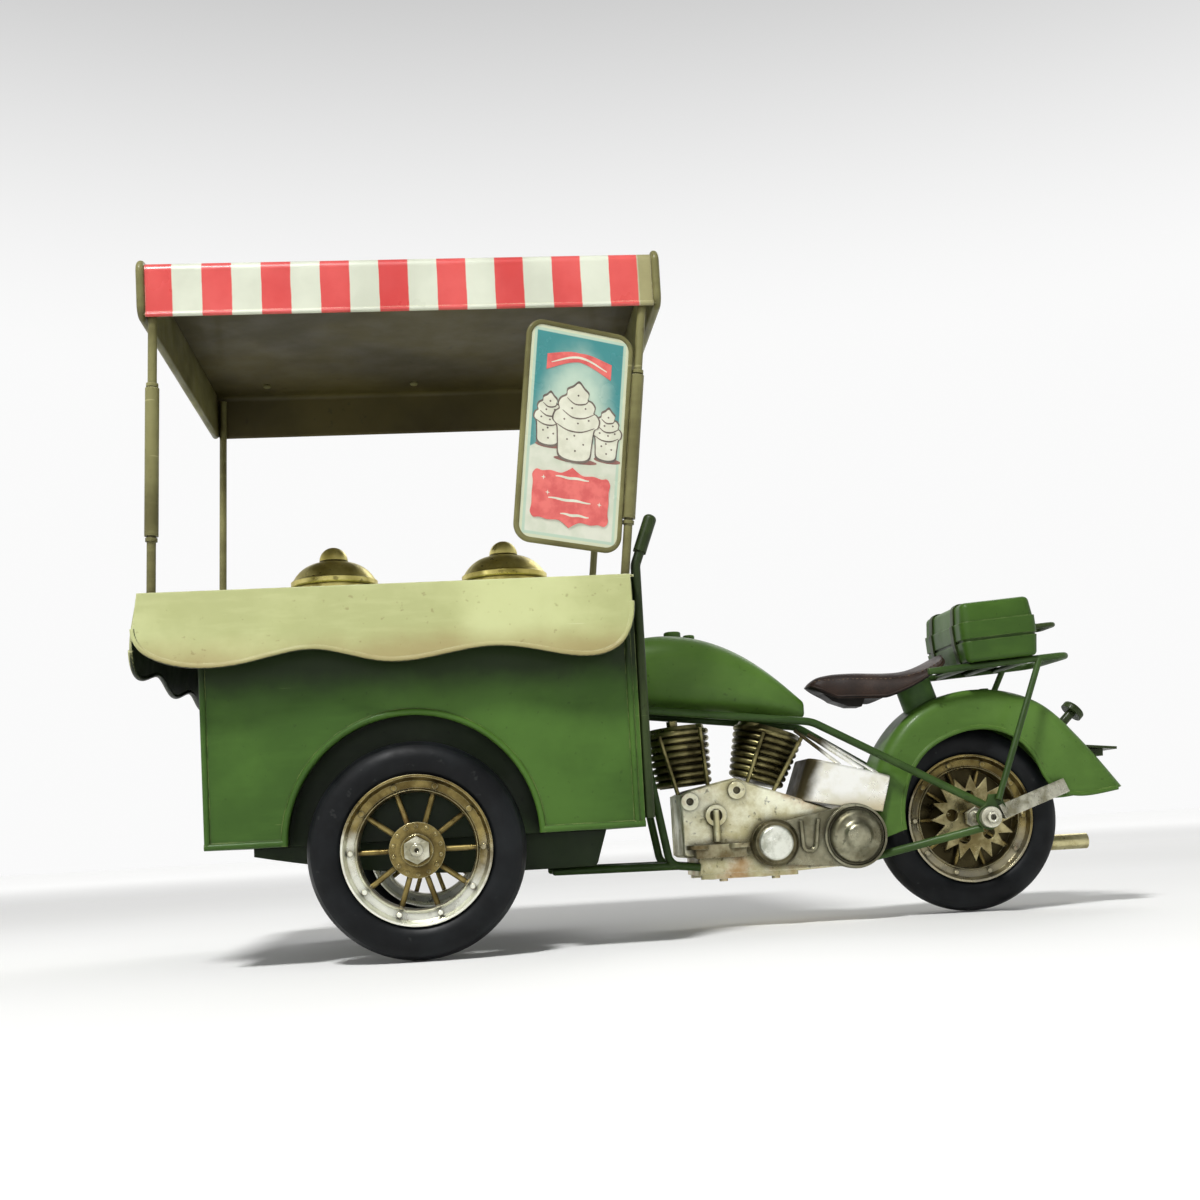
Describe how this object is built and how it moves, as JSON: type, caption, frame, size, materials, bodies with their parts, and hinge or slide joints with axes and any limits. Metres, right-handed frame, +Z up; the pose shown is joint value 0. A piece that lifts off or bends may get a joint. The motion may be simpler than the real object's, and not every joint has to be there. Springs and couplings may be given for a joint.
{
  "type": "toy ice-cream motorcycle",
  "caption": "Tinplate serving cart on spoked wheels pushed by a vintage motorcycle, with a striped canopy, swinging signs and lift-off tub lids.",
  "frame": {"origin": "centre of the bounding box's footprint, on the ground", "axes": "-X is the way the vehicle faces, +X runs from the cart to the rear mudguard, -Y is its left side, +Z is up"},
  "size_m": [0.3632, 0.1728, 0.238],
  "materials": {
    "green_paint": "satin, worn",
    "cream_paint": "satin, stained",
    "striped_paint": "gloss, coral-red and off-white stripes",
    "antique_brass": "aged",
    "aged_silver": "mottled",
    "steel": "satin",
    "black_rubber": "matt",
    "brown_leather": "dark, satin",
    "sign_print": "gloss printed sheet",
    "sign_wire": "satin, worn"
  },
  "bodies": {
    "chassis": {"cart_side_left": "green_paint", "cart_side_right": "green_paint", "cart_front_panel": "green_paint", "cart_rear_panel": "green_paint", "cart_floor": "green_paint", "wheel_well_left": "green_paint", "wheel_well_right": "green_paint", "belly_pan": "green_paint", "counter_top": "cream_paint", "valance_left": "cream_paint", "valance_right": "cream_paint", "valance_front": "cream_paint", "tub_front": "antique_brass", "tub_rear": "antique_brass", "post_front_left": "sign_wire", "post_front_right": "sign_wire", "post_rear_left": "sign_wire", "post_rear_right": "sign_wire", "roof_sheet": "striped_paint", "roof_ends": "cream_paint", "roof_screws": "steel", "front_axle": "steel", "handlebar_left": "green_paint", "handlebar_right": "green_paint", "upper_frame_tubes": "green_paint", "lower_frame_tubes": "green_paint", "fuel_tank": "green_paint", "filler_caps": "green_paint", "crankcase": "aged_silver", "cylinder_front": "antique_brass", "cylinder_rear": "antique_brass", "pushrods": "aged_silver", "engine_fittings": "aged_silver", "footboard": "aged_silver", "generator": "aged_silver", "primary_case": "aged_silver", "oil_tank": "aged_silver", "exhaust_pipe": "antique_brass", "saddle": "brown_leather", "saddle_mount": "green_paint", "rear_fender": "green_paint", "fender_stays": "aged_silver", "luggage_rack": "green_paint", "suitcase": "green_paint", "suitcase_trim": "green_paint", "rear_axle": "steel", "tail_lamps": "green_paint"},
    "lid_front": {"lid_front": "antique_brass"},
    "lid_rear": {"lid_rear": "antique_brass"},
    "sign_rear": {"sign_rear_frame": "sign_wire", "sign_rear_panel": "sign_print"},
    "sign_front": {"sign_front_frame": "sign_wire", "sign_front_panel": "sign_print"},
    "wheel_front_left": {"front_tyre_left": "black_rubber", "front_wheel_left": "antique_brass"},
    "wheel_front_right": {"front_tyre_right": "black_rubber", "front_wheel_right": "antique_brass"},
    "wheel_rear": {"rear_tyre": "black_rubber", "rear_wheel": "antique_brass", "rear_sprocket": "antique_brass"}
  },
  "joints": [
    {"name": "front_left_wheel_spin", "type": "hinge", "parent": "chassis", "child": "wheel_front_left", "pos_m": [-0.0914, -0.074, 0.036], "axis": [0, 1, 0], "continuous": true},
    {"name": "front_right_wheel_spin", "type": "hinge", "parent": "chassis", "child": "wheel_front_right", "pos_m": [-0.0914, 0.074, 0.036], "axis": [0, 1, 0], "continuous": true},
    {"name": "rear_wheel_spin", "type": "hinge", "parent": "chassis", "child": "wheel_rear", "pos_m": [0.1194, 0, 0.036], "axis": [0, 1, 0], "continuous": true},
    {"name": "rear_sign_swing", "type": "hinge", "parent": "chassis", "child": "sign_rear", "pos_m": [-0.0175, -0.0742, 0.124], "axis": [0.119, 0, 0.9929], "range_deg": [-100, 105]},
    {"name": "front_sign_swing", "type": "hinge", "parent": "chassis", "child": "sign_front", "pos_m": [-0.1746, -0.0742, 0.124], "axis": [0.0366, 0, 0.9993], "range_deg": [-84, 151]},
    {"name": "front_lid_lift", "type": "slide", "parent": "chassis", "child": "lid_front", "axis": [0, 0, 1], "range_m": [0, 0.03]},
    {"name": "rear_lid_lift", "type": "slide", "parent": "chassis", "child": "lid_rear", "axis": [0, 0, 1], "range_m": [0, 0.03]}
  ]
}
